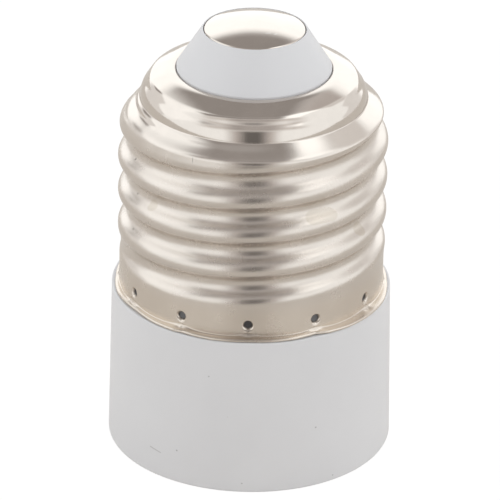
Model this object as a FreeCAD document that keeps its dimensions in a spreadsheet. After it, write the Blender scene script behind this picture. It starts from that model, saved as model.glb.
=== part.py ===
import FreeCAD, Part
import math
import os
import re

import Sketcher

# Lamp holder adapter: a large screw shell on a white moulding that holds a small screw socket.
# The part stands on the rim of the socket's mouth. Origin: middle of that rim's plane, +Z towards the
# domed contact. Millimetres.

VECTOR = FreeCAD.Vector

doc = FreeCAD.newDocument("lamp_socket_adapter")

# Driving sizes: name, value, what it is.
SIZES = (
    ("skirt_height", 16.2, "mouth rim up to the ledge that carries the shell's lip"),
    ("skirt_draft", 0.31, "skirt's radius at the rim beyond that at the ledge"),
    ("ledge_overhang", 0.08, "skirt's ledge beyond the shell's lip"),
    ("skirt_rim_round", 0.2, "outer edge of the rim"),
    ("skirt_ledge_round", 0.15, "outer edge of the ledge"),
    ("mouth_radius", 10.4, "socket mouth, inside the rim"),
    ("mouth_depth", 5.8, "rim up to the ledge round the small sleeve's lip"),
    ("mouth_edge_chamfer", 0.6, "lead-in at the mouth"),
    ("sheet_wall", 0.3, "sheet of the large shell"),
    ("band_height", 3.0, "plain band, from the ledge up to where the thread starts"),
    ("band_radius", 12.95, "outside of the plain band"),
    ("lip_flare", 0.65, "flared lip, out from the band"),
    ("lip_bend_radius", 0.2, "hollow between the lip and the band"),
    ("seat_clearance", 0.08, "between the band and the moulding's seat"),
    ("seat_drop", 0.3, "thread zone down to the top of that seat"),
    ("thread_zone_height", 16.9, "from the plain band up to the crease of the shoulder"),
    ("thread_pitch", 3.629, "large thread"),
    ("crest_rise", 0.15, "large thread's crests beyond the band"),
    ("thread_depth", 0.88, "large thread, crest to root"),
    ("thread_start_drop", 4.75, "crease down to the first full crest on the +X side"),
    ("crest_blend_height", 2.8, "rise over which the band's radius becomes the crest's"),
    ("groove_in_margin", 1.6, "band up to the middle of a groove that starts"),
    ("groove_in_height", 1.2, "rise of a groove's middle while it deepens"),
    ("groove_out_height", 2.6, "rise of a groove's middle while it fades"),
    ("groove_out_margin", 0.6, "crease up to the middle of a groove that has faded"),
    ("groove_edge_height", 0.8, "plain sheet kept at both ends of a threaded ring"),
    ("first_crest_inset", 0.35, "partial first crest, in from the full crests"),
    ("first_crest_lead", 2.8, "height over which the crests shrink to that radius"),
    ("first_crest_drop", 1.2, "height over which the sheet turns in to the crease"),
    ("crease_inset", 1.75, "shoulder's crease, in from the first crest"),
    ("shoulder_wall_height", 0.05, "upright part of the shoulder above the crease"),
    ("shoulder_round", 2.1, "outer radius of the shoulder's turn"),
    ("roof_angle", 24.0, "slope of the shoulder's roof, degrees"),
    ("roof_width", 2.104, "shoulder's roof, level distance from its turn to the opening"),
    ("core_clearance", 0.15, "between the thread's root and the moulding's neck"),
    ("core_drop", 3.5, "crease down to where the neck turns in to the crown"),
    ("crown_clearance", 0.5, "between the shoulder and the moulding's crown"),
    ("crown_height", 0.8, "moulding's crown above the crease"),
    ("collar_clearance", 0.15, "between the shell's opening and the moulding's collar"),
    ("cone_reveal", 0.26, "upright edge of the cone that shows above the opening"),
    ("cone_height", 3.87, "white cone"),
    ("cone_rim_width", 0.1, "land between the cone's edge and the contact's recess"),
    ("contact_radius", 4.91, "domed contact"),
    ("contact_gap", 0.05, "between the contact and its recess"),
    ("contact_rim_height", 0.8, "side of the contact's head"),
    ("contact_rim_round", 0.22, "edge of the contact's head"),
    ("contact_dome_rise", 0.82, "dome above its own edge"),
    ("stem_radius", 1.5, "stem of the contact"),
    ("stem_clearance", 0.05, "between the stem and its bore"),
    ("stem_drill_radius", 0.8, "hollow end of the stem"),
    ("stem_drill_depth", 2.4, "depth of that hollow"),
    ("peen_radius", 2.3, "peened end of the stem"),
    ("peen_height", 0.6, "peened end of the stem"),
    ("peen_chamfer", 0.25, "edge of the peened end"),
    ("sleeve_sheet", 0.25, "sheet of the small sleeve and its tab"),
    ("sleeve_pitch", 2.822, "small thread"),
    ("sleeve_crest_radius", 7.28, "small thread, outside of the sheet"),
    ("sleeve_depth", 0.75, "small thread, crest to root"),
    ("sleeve_height", 17.6, "housing's ledge up to the sleeve's closed end"),
    ("sleeve_plain_foot", 0.8, "plain wall above the sleeve's lip"),
    ("sleeve_plain_head", 1.8, "plain wall below the sleeve's closed end"),
    ("sleeve_groove_margin", 1.0, "plain sheet up to the middle of a groove that starts"),
    ("sleeve_start_drop", 2.9, "plain head down to a crest on the +X side"),
    ("sleeve_lip_flare", 1.02, "flared lip of the small sleeve, out from its wall"),
    ("sleeve_port_radius", 5.2, "hole in the sleeve's closed end"),
    ("sleeve_clearance", 0.15, "between the sleeve and its bore"),
    ("chamber_clearance", 0.17, "between the tab's corners and the space above the sleeve"),
    ("chamber_height", 6.6, "sleeve's closed end up to the chamber's ceiling"),
    ("tab_width", 3.6, "lanced tab of the sleeve"),
    ("tab_setback", 0.2, "port's edge to the inner face of the tab's upright"),
    ("tab_rise", 2.5, "closed end up to the top of the tab"),
    ("tab_drop", 3.4, "length of the tab's outer leg"),
    ("tab_bend", 0.25, "inside radius of the tab's bends"),
    ("tab_contact_gap", 0.05, "between the tab's edges and the shell's root"),
    ("tab_clearance", 0.1, "between the tab and its slot"),
    ("leaf_thickness", 0.35, "spring leaf"),
    ("leaf_width", 4.4, "spring leaf"),
    ("leaf_gap", 0.03, "above and below the leaf's foot"),
    ("leaf_reach", 4.6, "axis to the outside of the leaf's upright"),
    ("leaf_foot_tail", 3.2, "foot beyond the axis"),
    ("leaf_upright", 2.3, "length of the leaf's upright"),
    ("leaf_slope", 36.0, "slope of the tongue, degrees"),
    ("leaf_bend", 0.3, "inside radius of the leaf's upper bends"),
    ("nose_tail", 2.4, "upturned end of the tongue, along X"),
    ("nose_slope", 30.0, "slope of the upturned end, degrees"),
    ("nose_bend", 0.7, "inside radius of the tongue's rounded nose"),
    ("dimple_height", 1.7, "ledge up to the row of punched dimples"),
    ("dimple_radius", 0.5, "dimple at the sheet's outside"),
    ("dimple_tip_radius", 0.16, "bottom of a dimple"),
    ("dimple_depth", 0.48, "dimple into the sheet"),
    ("dimple_clearance", 0.08, "between a dimple's boss and its pit"),
    ("dimple_angle", -91.0, "place of the first dimple round the axis, degrees"),
    ("dimple_count", 12, "dimples in the row"),
    ("pleat_height", 0.75, "pleat of the lip below each dimple"),
    ("pleat_inset", 0.23, "pleat, in from the lip's edge"),
    ("pleat_width", 0.7, "pleat, along the band"),
)

# Places that follow from the sizes: name, formula.
PLACES = (
    ("lip_radius", "band_radius + lip_flare"),
    ("skirt_ledge_radius", "lip_radius + ledge_overhang"),
    ("skirt_base_radius", "skirt_ledge_radius + skirt_draft"),
    ("lip_top_z", "skirt_height + sheet_wall"),
    ("thread_foot_z", "skirt_height + band_height"),
    ("crease_z", "thread_foot_z + thread_zone_height"),
    ("thread_crest_radius", "band_radius + crest_rise"),
    ("thread_root_radius", "thread_crest_radius - thread_depth"),
    ("first_crest_radius", "thread_crest_radius - first_crest_inset"),
    ("crease_radius", "first_crest_radius - crease_inset"),
    ("shoulder_centre_z", "crease_z + shoulder_wall_height"),
    ("shoulder_centre_radius", "crease_radius - shoulder_round"),
    ("roof_foot_radius", "shoulder_centre_radius + shoulder_round * sin(roof_angle)"),
    ("roof_foot_z", "shoulder_centre_z + shoulder_round * cos(roof_angle)"),
    ("opening_radius", "roof_foot_radius - roof_width"),
    ("cone_base_radius", "opening_radius - collar_clearance"),
    ("opening_z", "roof_foot_z + (roof_foot_radius - opening_radius) * tan(roof_angle)"),
    ("inner_turn_radius", "shoulder_round - sheet_wall"),
    ("inner_roof_radius", "shoulder_centre_radius + inner_turn_radius * sin(roof_angle)"),
    ("inner_roof_z", "shoulder_centre_z + inner_turn_radius * cos(roof_angle)"),
    ("inner_opening_z", "inner_roof_z + (inner_roof_radius - opening_radius) * tan(roof_angle)"),
    ("band_inner_radius", "band_radius - sheet_wall"),
    ("crease_inner_radius", "crease_radius - sheet_wall"),
    ("seat_radius", "band_inner_radius - seat_clearance"),
    ("seat_top_z", "thread_foot_z - seat_drop"),
    ("core_radius", "thread_root_radius - sheet_wall - core_clearance"),
    ("core_top_z", "crease_z - core_drop"),
    ("crown_radius", "crease_inner_radius - crown_clearance"),
    ("crown_foot_z", "core_top_z + core_radius - crown_radius"),
    ("crown_top_z", "crease_z + crown_height"),
    ("collar_foot_z", "crown_top_z + (crown_radius - cone_base_radius) * tan(roof_angle)"),
    ("cone_base_z", "opening_z + cone_reveal"),
    ("cone_top_z", "cone_base_z + cone_height"),
    ("recess_radius", "contact_radius + contact_gap"),
    ("cone_top_radius", "recess_radius + cone_rim_width"),
    ("contact_foot_z", "cone_top_z - contact_rim_height"),
    ("contact_top_z", "cone_top_z + contact_dome_rise"),
    ("dome_radius", "(contact_radius ^ 2 + contact_dome_rise ^ 2) / (2 * contact_dome_rise)"),
    ("stem_bore_radius", "stem_radius + stem_clearance"),
    ("sleeve_inner_radius", "sleeve_crest_radius - sleeve_sheet"),
    ("sleeve_lip_radius", "sleeve_crest_radius + sleeve_lip_flare"),
    ("sleeve_bore_radius", "sleeve_crest_radius + sleeve_clearance"),
    ("sleeve_seat_radius", "sleeve_lip_radius + sleeve_clearance"),
    ("sleeve_seat_z", "mouth_depth + sleeve_sheet"),
    ("sleeve_foot_z", "mouth_depth + sleeve_plain_foot"),
    ("sleeve_top_z", "mouth_depth + sleeve_height"),
    ("sleeve_head_z", "sleeve_top_z - sleeve_plain_head"),
    ("sleeve_end_z", "sleeve_top_z - sleeve_sheet"),
    ("ceiling_z", "sleeve_top_z + chamber_height"),
    ("foot_top_z", "ceiling_z - leaf_gap"),
    ("foot_under_z", "foot_top_z - leaf_thickness"),
    ("peen_top_z", "foot_under_z - leaf_gap"),
    ("peen_under_z", "peen_top_z - peen_height"),
    ("drill_top_z", "peen_under_z + stem_drill_depth"),
    ("tab_top_z", "sleeve_top_z + tab_rise"),
    ("tab_under_z", "tab_top_z - sleeve_sheet"),
    ("tab_offset", "sleeve_port_radius + tab_setback"),
    ("tab_back", "tab_offset + sleeve_sheet"),
    ("chamber_radius", "sqrt(tab_back ^ 2 + (tab_width / 2) ^ 2) + chamber_clearance"),
    ("tab_corner_radius", "thread_root_radius - sheet_wall - tab_contact_gap"),
    ("tab_outer", "sqrt(tab_corner_radius ^ 2 - (tab_width / 2) ^ 2)"),
    ("tab_inner", "tab_outer - sleeve_sheet"),
    ("tab_foot_z", "tab_top_z - tab_drop"),
    ("leaf_inner", "leaf_reach - leaf_thickness"),
    ("knee_z", "foot_top_z - leaf_upright"),
    ("leaf_slant", "leaf_thickness / cos(leaf_slope)"),
    ("knee_inner_z", "knee_z + leaf_slant - leaf_thickness * tan(leaf_slope)"),
    ("nose_z", "knee_z - leaf_reach * tan(leaf_slope)"),
    ("nose_slant", "leaf_thickness / cos(nose_slope)"),
    ("nose_top_x", "(leaf_slant - nose_slant) / (tan(leaf_slope) + tan(nose_slope))"),
    ("nose_top_z", "nose_z + leaf_slant - nose_top_x * tan(leaf_slope)"),
    ("nose_end_z", "nose_z + nose_tail * tan(nose_slope)"),
    ("nose_end_top_z", "nose_end_z + nose_slant"),
    ("dimple_z", "skirt_height + dimple_height"),
    ("dimple_mouth", "band_radius + dimple_clearance"),
    ("dimple_tip", "band_radius - dimple_depth"),
    ("boss_radius", "dimple_radius + sheet_wall"),
    ("boss_tip_radius", "dimple_tip_radius + sheet_wall"),
    ("boss_root", "band_radius - sheet_wall / 2"),
    ("boss_tip", "dimple_tip - sheet_wall"),
    ("pit_radius", "boss_radius + dimple_clearance"),
    ("pit_tip_radius", "boss_tip_radius + dimple_clearance"),
    ("pit_tip", "boss_tip - dimple_clearance"),
    ("pleat_foot_z", "skirt_height + sheet_wall / 2"),
    ("pleat_top_z", "lip_top_z + pleat_height"),
    ("pleat_tip", "lip_radius - pleat_inset"),
)

NAMES = {row[0] for row in SIZES + PLACES}


def on_sheet(formula):
    """The formula with each of its names read from the sheet."""
    return re.sub(r"[a-z_]+", lambda word: prefixed(word.group(0)), formula)


def prefixed(word):
    return "sizes." + word if word in NAMES else word


sizes = doc.addObject("Spreadsheet::Sheet", "sizes")
for row, (name, value, note) in enumerate(SIZES, start=1):
    sizes.set(f"A{row}", note)
    sizes.set(f"B{row}", str(value))
    sizes.setAlias(f"B{row}", name)
for row, (name, formula) in enumerate(PLACES, start=len(SIZES) + 1):
    sizes.set(f"A{row}", name)
    sizes.set(f"B{row}", "=" + formula)
    sizes.setAlias(f"B{row}", name)
doc.recompute()


def number(name):
    return float(sizes.get(name))


def worth(formula):
    """What a formula comes to at present."""
    return float(sizes.evalExpression(on_sheet(formula)))


def bind(feature, prop, formula):
    feature.setExpression(prop, on_sheet(formula))


def origin_part(body, role):
    return next(part for part in body.Origin.OriginFeatures if part.Role == role)


def new_body(label):
    body = doc.addObject("PartDesign::Body", label)
    body.Label = label
    return body


def outline(body, name, plane, corners, arcs=None):
    """A sketch of one closed outline. A corner is a pair of formulas. arcs maps the number of an edge to its
    radius and the side of the chord on which it bulges, 1 for left and -1 for right."""
    arcs = arcs or {}
    sketch = body.newObject("Sketcher::SketchObject", name + "_outline")
    sketch.AttachmentSupport = [(origin_part(body, plane), "")]
    sketch.MapMode = "FlatFace"
    spots = [VECTOR(worth(across), worth(up), 0) for across, up in corners]
    count = len(spots)
    ends = []
    for edge in range(count):
        start = spots[edge]
        end = spots[(edge + 1) % count]
        if edge in arcs:
            radius, side = arcs[edge]
            sketch.addGeometry(bulging_arc(start, end, worth(radius), side), False)
        else:
            sketch.addGeometry(Part.LineSegment(start, end), False)
        swapped = sketch.getPoint(edge, 1).distanceToPoint(start) > 1e-6
        ends.append((2, 1) if swapped else (1, 2))
    for edge in range(count):
        after = (edge + 1) % count
        join = Sketcher.Constraint("Coincident", edge, ends[edge][1], after, ends[after][0])
        sketch.addConstraint(join)
    for edge, (across, up) in enumerate(corners):
        hold(sketch, edge, ends[edge][0], "DistanceX", across, -2)
        hold(sketch, edge, ends[edge][0], "DistanceY", up, -1)
    for edge, (radius, side) in arcs.items():
        place = sketch.addConstraint(Sketcher.Constraint("Radius", edge, worth(radius)))
        bind(sketch, f"Constraints[{place}]", radius)
    return sketch


def bulging_arc(start, end, radius, side):
    chord = end - start
    left = VECTOR(-chord.y, chord.x, 0).normalize()
    bulge = radius - math.sqrt(radius * radius - chord.Length * chord.Length / 4)
    return Part.Arc(start, (start + end) / 2 + left * (side * bulge), end)


def hold(sketch, edge, end, kind, formula, axis):
    """Holds one coordinate of a corner. A coordinate of nought lies on the axis itself."""
    if formula == "0":
        sketch.addConstraint(Sketcher.Constraint("PointOnObject", edge, end, axis))
        return
    place = sketch.addConstraint(Sketcher.Constraint(kind, -1, 1, edge, end, worth(formula)))
    bind(sketch, f"Constraints[{place}]", formula)


def revolution(body, name, corners, arcs=None):
    """A solid of revolution round Z. A corner is a radius and a height."""
    turned = body.newObject("PartDesign::Revolution", name)
    turned.Profile = outline(body, name, "XZ_Plane", corners, arcs)
    turned.ReferenceAxis = (origin_part(body, "Z_Axis"), [""])
    turned.Angle = 360
    doc.recompute()
    return turned


def pad(body, name, sketch, width):
    """A solid of one outline, half its width to each side of the sketch."""
    raised = body.newObject("PartDesign::Pad", name)
    raised.Profile = sketch
    raised.Midplane = True
    bind(raised, "Length", width)
    doc.recompute()
    return raised


def pocket(body, name, plane, corners, width):
    """A cut of one outline, half its width to each side of the plane."""
    before = body.Shape.Volume
    cut = body.newObject("PartDesign::Pocket", name)
    cut.Profile = outline(body, name, plane, corners)
    cut.Midplane = True
    bind(cut, "Length", width)
    doc.recompute()
    if not body.Shape.Volume < before:
        raise RuntimeError(f"{name} cuts nothing")
    return cut


def ring_edge(feature, radius, height):
    """The circular edge of that radius at that height."""
    for place, edge in enumerate(feature.Shape.Edges, start=1):
        box = edge.BoundBox
        level = box.ZLength < 1e-4 and abs(box.ZMax - worth(height)) < 1e-3
        if level and abs(box.XLength / 2 - number(radius)) < 1e-3:
            return [f"Edge{place}"]
    raise RuntimeError(f"no ring edge of {radius} at {height}")


def bend_edges(feature, across, spots):
    """The straight level edges at each spot, a coordinate along X or Y and a height."""
    found = []
    for place, edge in enumerate(feature.Shape.Edges, start=1):
        box = edge.BoundBox
        low = VECTOR(box.XMin, box.YMin, box.ZMin)
        spread = VECTOR(box.XLength, box.YLength, box.ZLength)
        here = getattr(low, across)
        if getattr(spread, across) > 1e-4 or spread.z > 1e-4:
            continue
        if any(abs(here - worth(a)) < 1e-3 and abs(low.z - worth(z)) < 1e-3 for a, z in spots):
            found.append(f"Edge{place}")
    if len(found) != len(spots):
        raise RuntimeError(f"{len(found)} edges found for {len(spots)} bends")
    return found


def dress(body, kind, name, base, edges, prop, size):
    """A fillet (Radius) or chamfer (Size) on named edges."""
    dressed = body.newObject("PartDesign::" + kind, name)
    dressed.Base = (base, edges)
    bind(dressed, prop, size)
    doc.recompute()
    return dressed


def radial_cone(body, kind, name, mouth, mouth_radius, tip, tip_radius):
    """A cone that narrows towards the axis at the first dimple, added or cut."""
    cone = body.newObject(f"PartDesign::{kind}Cone", name)
    turn = FreeCAD.Rotation(VECTOR(0, 0, 1), number("dimple_angle"))
    lean = FreeCAD.Rotation(VECTOR(0, 1, 0), -90)
    cone.Placement = FreeCAD.Placement(VECTOR(0, 0, 0), turn.multiply(lean))
    bind(cone, "Placement.Base.x", f"{mouth} * cos(dimple_angle)")
    bind(cone, "Placement.Base.y", f"{mouth} * sin(dimple_angle)")
    bind(cone, "Placement.Base.z", "dimple_z")
    bind(cone, "Radius1", mouth_radius)
    bind(cone, "Radius2", tip_radius)
    bind(cone, "Height", f"{mouth} - {tip}")
    doc.recompute()
    return cone


def round_the_axis(body, name, feature):
    """The feature repeated round Z, one for each dimple."""
    pattern = body.newObject("PartDesign::PolarPattern", name)
    pattern.Originals = [feature]
    pattern.Axis = (origin_part(body, "Z_Axis"), [""])
    pattern.Angle = 360
    bind(pattern, "Occurrences", "dimple_count")
    body.Tip = pattern
    doc.recompute()
    return pattern


def ease(share):
    """0 to 1 with no slope and no curvature at either end."""
    share = min(max(share, 0.0), 1.0)
    return share ** 3 * (share * (6 * share - 15) + 10)


class RolledThread:
    """The outside of a drawn tube with a helical groove rolled into it. The groove's section is two equal
    arcs that meet at half depth. A groove comes and goes with the height of its middle, and the sheet is
    plain at both ends."""

    def __init__(self, foot, top, pitch, depth, crest, fades, edge, blank):
        self.foot = foot
        self.top = top
        self.pitch = pitch
        self.depth = depth
        self.crest = crest
        self.fades = fades
        self.edge = edge
        self.blank = blank

    def groove(self, phase):
        """Depth at a phase, 0 or 1 on a crest and one half at the root."""
        arc = (self.depth ** 2 / 4 + self.pitch ** 2 / 16) / self.depth
        from_crest = min(phase, 1 - phase) * self.pitch
        from_root = self.pitch / 2 - from_crest
        if from_crest < from_root:
            return arc - math.sqrt(arc * arc - from_crest * from_crest)
        return self.depth - arc + math.sqrt(arc * arc - from_root * from_root)

    def radius(self, angle, height):
        turns = (height - self.crest) / self.pitch - angle / math.tau
        phase = turns % 1.0
        middle = height + (0.5 - phase) * self.pitch
        start, deep, fading, faded = self.fades
        strength = ease((middle - start) / (deep - start))
        strength *= ease((faded - middle) / (faded - fading))
        strength *= ease((height - self.foot) / self.edge)
        strength *= ease((self.top - height) / self.edge)
        return self.blank(height) - strength * self.groove(phase)

    def lean(self, angle, height):
        """Length of the sheet for one unit of height."""
        step = self.pitch / 180
        above = self.radius(angle, min(height + step, self.top))
        below = self.radius(angle, max(height - step, self.foot))
        return math.hypot(1.0, (above - below) / (2 * step))

    def surface(self, columns, rows, wall):
        """A smooth ring surface, the given wall inside the outline. Its first and last rows are circles."""
        swell = 3 / (2 + math.cos(math.tau / columns))
        poles = []
        for column in range(columns):
            angle = math.tau * column / columns
            line = []
            for row in range(rows):
                height = self.foot + (self.top - self.foot) * row / (rows - 1)
                inner_row = 1 < row < rows - 2
                inwards = wall * (self.lean(angle, height) if inner_row else 1.0)
                reach = swell * (self.radius(angle, height) - inwards)
                line.append(VECTOR(reach * math.cos(angle), reach * math.sin(angle), height))
            poles.append(line)
        round_knots = [column / columns for column in range(columns + 1)]
        along_knots = [row / (rows - 3) for row in range(rows - 2)]
        spline = Part.BSplineSurface()
        spline.buildFromPolesMultsKnots(
            poles,
            [1] * len(round_knots),
            [4] + [1] * (rows - 4) + [4],
            round_knots,
            along_knots,
            True,
            False,
            3,
            3,
        )
        return spline.toShape()

    def ring(self, columns, rows, wall):
        """The closed solid between the outside and the inside of the sheet."""
        outside = self.surface(columns, rows, 0.0)
        inside = self.surface(columns, rows, wall)
        faces = [outside, inside]
        for height in (self.foot, self.top):
            rims = [Part.Wire([level_edge(side, height)]) for side in (outside, inside)]
            faces.append(Part.makeFace(rims, "Part::FaceMakerBullseye"))
        sheet = Part.Compound(faces)
        sheet.sewShape(1e-4)
        solid = Part.Solid(sheet.Shells[0])
        if solid.Volume < 0:
            solid.reverse()
        return solid


def level_edge(face, height):
    for edge in face.Edges:
        box = edge.BoundBox
        if max(abs(box.ZMin - height), abs(box.ZMax - height)) < 1e-5:
            return edge
    raise RuntimeError(f"no edge at {height}")


def shape_feature(label, shape):
    feature = doc.addObject("Part::Feature", label)
    feature.Label = label
    feature.Shape = shape
    feature.Placement = FreeCAD.Placement()
    return feature


def fused(label, pieces):
    whole = doc.addObject("Part::MultiFuse", label)
    whole.Label = label
    whole.Shapes = pieces
    doc.recompute()
    return whole


# Housing
# One moulding: skirt, seat for the band, neck, crown, cone, and the socket's stepped hollow.

housing = new_body("housing")
moulding = revolution(
    housing,
    "moulding",
    (
        ("mouth_radius", "0"),
        ("skirt_base_radius", "0"),
        ("skirt_ledge_radius", "skirt_height"),
        ("seat_radius", "skirt_height"),
        ("seat_radius", "seat_top_z"),
        ("core_radius", "seat_top_z"),
        ("core_radius", "core_top_z"),
        ("crown_radius", "crown_foot_z"),
        ("crown_radius", "crown_top_z"),
        ("cone_base_radius", "collar_foot_z"),
        ("cone_base_radius", "cone_base_z"),
        ("cone_top_radius", "cone_top_z"),
        ("recess_radius", "cone_top_z"),
        ("recess_radius", "contact_foot_z"),
        ("stem_bore_radius", "contact_foot_z"),
        ("stem_bore_radius", "ceiling_z"),
        ("chamber_radius", "ceiling_z"),
        ("chamber_radius", "sleeve_top_z"),
        ("sleeve_bore_radius", "sleeve_top_z"),
        ("sleeve_bore_radius", "sleeve_seat_z"),
        ("sleeve_seat_radius", "sleeve_seat_z"),
        ("sleeve_seat_radius", "mouth_depth"),
        ("mouth_radius", "mouth_depth"),
    ),
)
rim_edge = ring_edge(moulding, "skirt_base_radius", "0")
rim = dress(housing, "Fillet", "rim_round", moulding, rim_edge, "Radius", "skirt_rim_round")
ledge_edge = ring_edge(rim, "skirt_ledge_radius", "skirt_height")
ledge = dress(housing, "Fillet", "ledge_round", rim, ledge_edge, "Radius", "skirt_ledge_round")
mouth_edge = ring_edge(ledge, "mouth_radius", "0")
dress(housing, "Chamfer", "mouth_lead_in", ledge, mouth_edge, "Size", "mouth_edge_chamfer")
pocket(
    housing,
    "tab_slot",
    "YZ_Plane",
    (
        ("chamber_radius / 2", "tab_under_z - tab_clearance"),
        ("band_radius", "tab_under_z - tab_clearance"),
        ("band_radius", "tab_top_z + tab_clearance"),
        ("chamber_radius / 2", "tab_top_z + tab_clearance"),
    ),
    "tab_width + 2 * tab_clearance",
)
pocket(
    housing,
    "tab_groove",
    "YZ_Plane",
    (
        ("tab_inner - tab_clearance", "tab_foot_z - tab_clearance"),
        ("band_radius", "tab_foot_z - tab_clearance"),
        ("band_radius", "tab_top_z"),
        ("tab_inner - tab_clearance", "tab_top_z"),
    ),
    "tab_width + 2 * tab_clearance",
)
first_pit = radial_cone(
    housing, "Subtractive", "boss_pit", "boss_root", "pit_radius", "pit_tip", "pit_tip_radius"
)
round_the_axis(housing, "boss_pits", first_pit)

# Screw shell
# The band with its flared lip. Each punched dimple has a boss inside and a pleat of the lip below it.

band = new_body("shell_band")
strip = revolution(
    band,
    "band_sheet",
    (
        ("band_inner_radius", "skirt_height"),
        ("lip_radius", "skirt_height"),
        ("lip_radius", "lip_top_z"),
        ("band_radius", "lip_top_z"),
        ("band_radius", "thread_foot_z"),
        ("band_inner_radius", "thread_foot_z"),
    ),
)
hollow_edge = ring_edge(strip, "band_radius", "lip_top_z")
dress(band, "Fillet", "lip_hollow", strip, hollow_edge, "Radius", "lip_bend_radius")
pleat_sketch = outline(
    band,
    "pleat",
    "XZ_Plane",
    (
        ("boss_root", "pleat_foot_z"),
        ("pleat_tip", "pleat_foot_z"),
        ("pleat_tip", "lip_top_z"),
        ("band_radius", "pleat_top_z"),
        ("boss_root", "pleat_top_z"),
    ),
)
pleat_turn = FreeCAD.Rotation(VECTOR(0, 1, 0), number("dimple_angle"))
pleat_sketch.AttachmentOffset = FreeCAD.Placement(VECTOR(0, 0, 0), pleat_turn)
pleat = pad(band, "pleat", pleat_sketch, "pleat_width")
round_the_axis(band, "pleats", pleat)
boss = radial_cone(
    band, "Additive", "dimple_boss", "boss_root", "boss_radius", "boss_tip", "boss_tip_radius"
)
round_the_axis(band, "dimple_bosses", boss)
dimple = radial_cone(
    band, "Subtractive", "dimple", "dimple_mouth", "dimple_radius", "dimple_tip", "dimple_tip_radius"
)
round_the_axis(band, "dimples", dimple)

# The stepped shoulder and its roof, open for the white cone.

shoulder = new_body("shell_shoulder")
revolution(
    shoulder,
    "shoulder_sheet",
    (
        ("crease_radius", "crease_z"),
        ("crease_radius", "shoulder_centre_z"),
        ("roof_foot_radius", "roof_foot_z"),
        ("opening_radius", "opening_z"),
        ("opening_radius", "inner_opening_z"),
        ("inner_roof_radius", "inner_roof_z"),
        ("crease_inner_radius", "shoulder_centre_z"),
        ("crease_inner_radius", "crease_z"),
    ),
    {1: ("shoulder_round", -1), 5: ("inner_turn_radius", 1)},
)


def shell_blank(height):
    """Radius of the large shell before its thread is rolled."""
    above_band = height - number("thread_foot_z")
    below_crease = number("crease_z") - height
    drop = number("first_crest_drop")
    lead = number("first_crest_lead")
    grown = ease(above_band / number("crest_blend_height"))
    shrunk = ease((drop + lead - below_crease) / lead)
    turned_in = ease((drop - below_crease) / drop)
    radius = number("band_radius")
    radius += grown * (number("thread_crest_radius") - number("band_radius"))
    radius -= shrunk * (number("thread_crest_radius") - number("first_crest_radius"))
    radius -= turned_in * (number("first_crest_radius") - number("crease_radius"))
    return radius


groove_start = number("thread_foot_z") + number("groove_in_margin")
groove_faded = number("crease_z") + number("groove_out_margin")
large_thread = RolledThread(
    number("thread_foot_z"),
    number("crease_z"),
    number("thread_pitch"),
    number("thread_depth"),
    number("crease_z") - number("thread_start_drop"),
    (
        groove_start,
        groove_start + number("groove_in_height"),
        groove_faded - number("groove_out_height"),
        groove_faded,
    ),
    number("groove_edge_height"),
    shell_blank,
)
THREAD_COLUMNS = 72
THREAD_ROWS_PER_PITCH = 16
large_rows = round(number("thread_zone_height") / number("thread_pitch") * THREAD_ROWS_PER_PITCH)
threaded = shape_feature(
    "shell_thread", large_thread.ring(THREAD_COLUMNS, large_rows, number("sheet_wall"))
)
screw_shell = fused("screw_shell", [threaded, band, shoulder])

# Tip contact
# A headed rivet: domed head in the cone's recess, stem down to the socket, peened over the leaf's foot.

tip_contact = new_body("tip_contact")
rivet = revolution(
    tip_contact,
    "rivet",
    (
        ("0", "drill_top_z"),
        ("stem_drill_radius", "drill_top_z"),
        ("stem_drill_radius", "peen_under_z"),
        ("peen_radius", "peen_under_z"),
        ("peen_radius", "peen_top_z"),
        ("stem_radius", "peen_top_z"),
        ("stem_radius", "contact_foot_z"),
        ("contact_radius", "contact_foot_z"),
        ("contact_radius", "cone_top_z"),
        ("0", "contact_top_z"),
    ),
    {8: ("dome_radius", -1)},
)
head_edge = ring_edge(rivet, "contact_radius", "cone_top_z")
head = dress(tip_contact, "Fillet", "head_round", rivet, head_edge, "Radius", "contact_rim_round")
peen_edge = ring_edge(head, "peen_radius", "peen_under_z")
dress(tip_contact, "Chamfer", "peen_edge", head, peen_edge, "Size", "peen_chamfer")

# Inner sleeve
# Thin sheet with the small thread, a flared lip below, a closed end with a port, and the lanced tab that
# goes out through the housing's wall to the large shell.

sleeve_foot = new_body("sleeve_foot")
revolution(
    sleeve_foot,
    "sleeve_lip",
    (
        ("sleeve_inner_radius", "mouth_depth"),
        ("sleeve_lip_radius", "mouth_depth"),
        ("sleeve_lip_radius", "sleeve_seat_z"),
        ("sleeve_crest_radius", "sleeve_seat_z"),
        ("sleeve_crest_radius", "sleeve_foot_z"),
        ("sleeve_inner_radius", "sleeve_foot_z"),
    ),
)
sleeve_head = new_body("sleeve_head")
revolution(
    sleeve_head,
    "sleeve_end",
    (
        ("sleeve_inner_radius", "sleeve_head_z"),
        ("sleeve_crest_radius", "sleeve_head_z"),
        ("sleeve_crest_radius", "sleeve_top_z"),
        ("sleeve_port_radius", "sleeve_top_z"),
        ("sleeve_port_radius", "sleeve_end_z"),
        ("sleeve_inner_radius", "sleeve_end_z"),
    ),
)
sleeve_tab = new_body("sleeve_tab")
tab_sketch = outline(
    sleeve_tab,
    "tab",
    "YZ_Plane",
    (
        ("tab_offset", "sleeve_end_z"),
        ("tab_back", "sleeve_end_z"),
        ("tab_back", "tab_under_z"),
        ("tab_inner", "tab_under_z"),
        ("tab_inner", "tab_foot_z"),
        ("tab_outer", "tab_foot_z"),
        ("tab_outer", "tab_top_z"),
        ("tab_offset", "tab_top_z"),
    ),
)
tab = pad(sleeve_tab, "tab", tab_sketch, "tab_width")
tab_hollows = bend_edges(tab, "y", (("tab_back", "tab_under_z"), ("tab_inner", "tab_under_z")))
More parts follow.
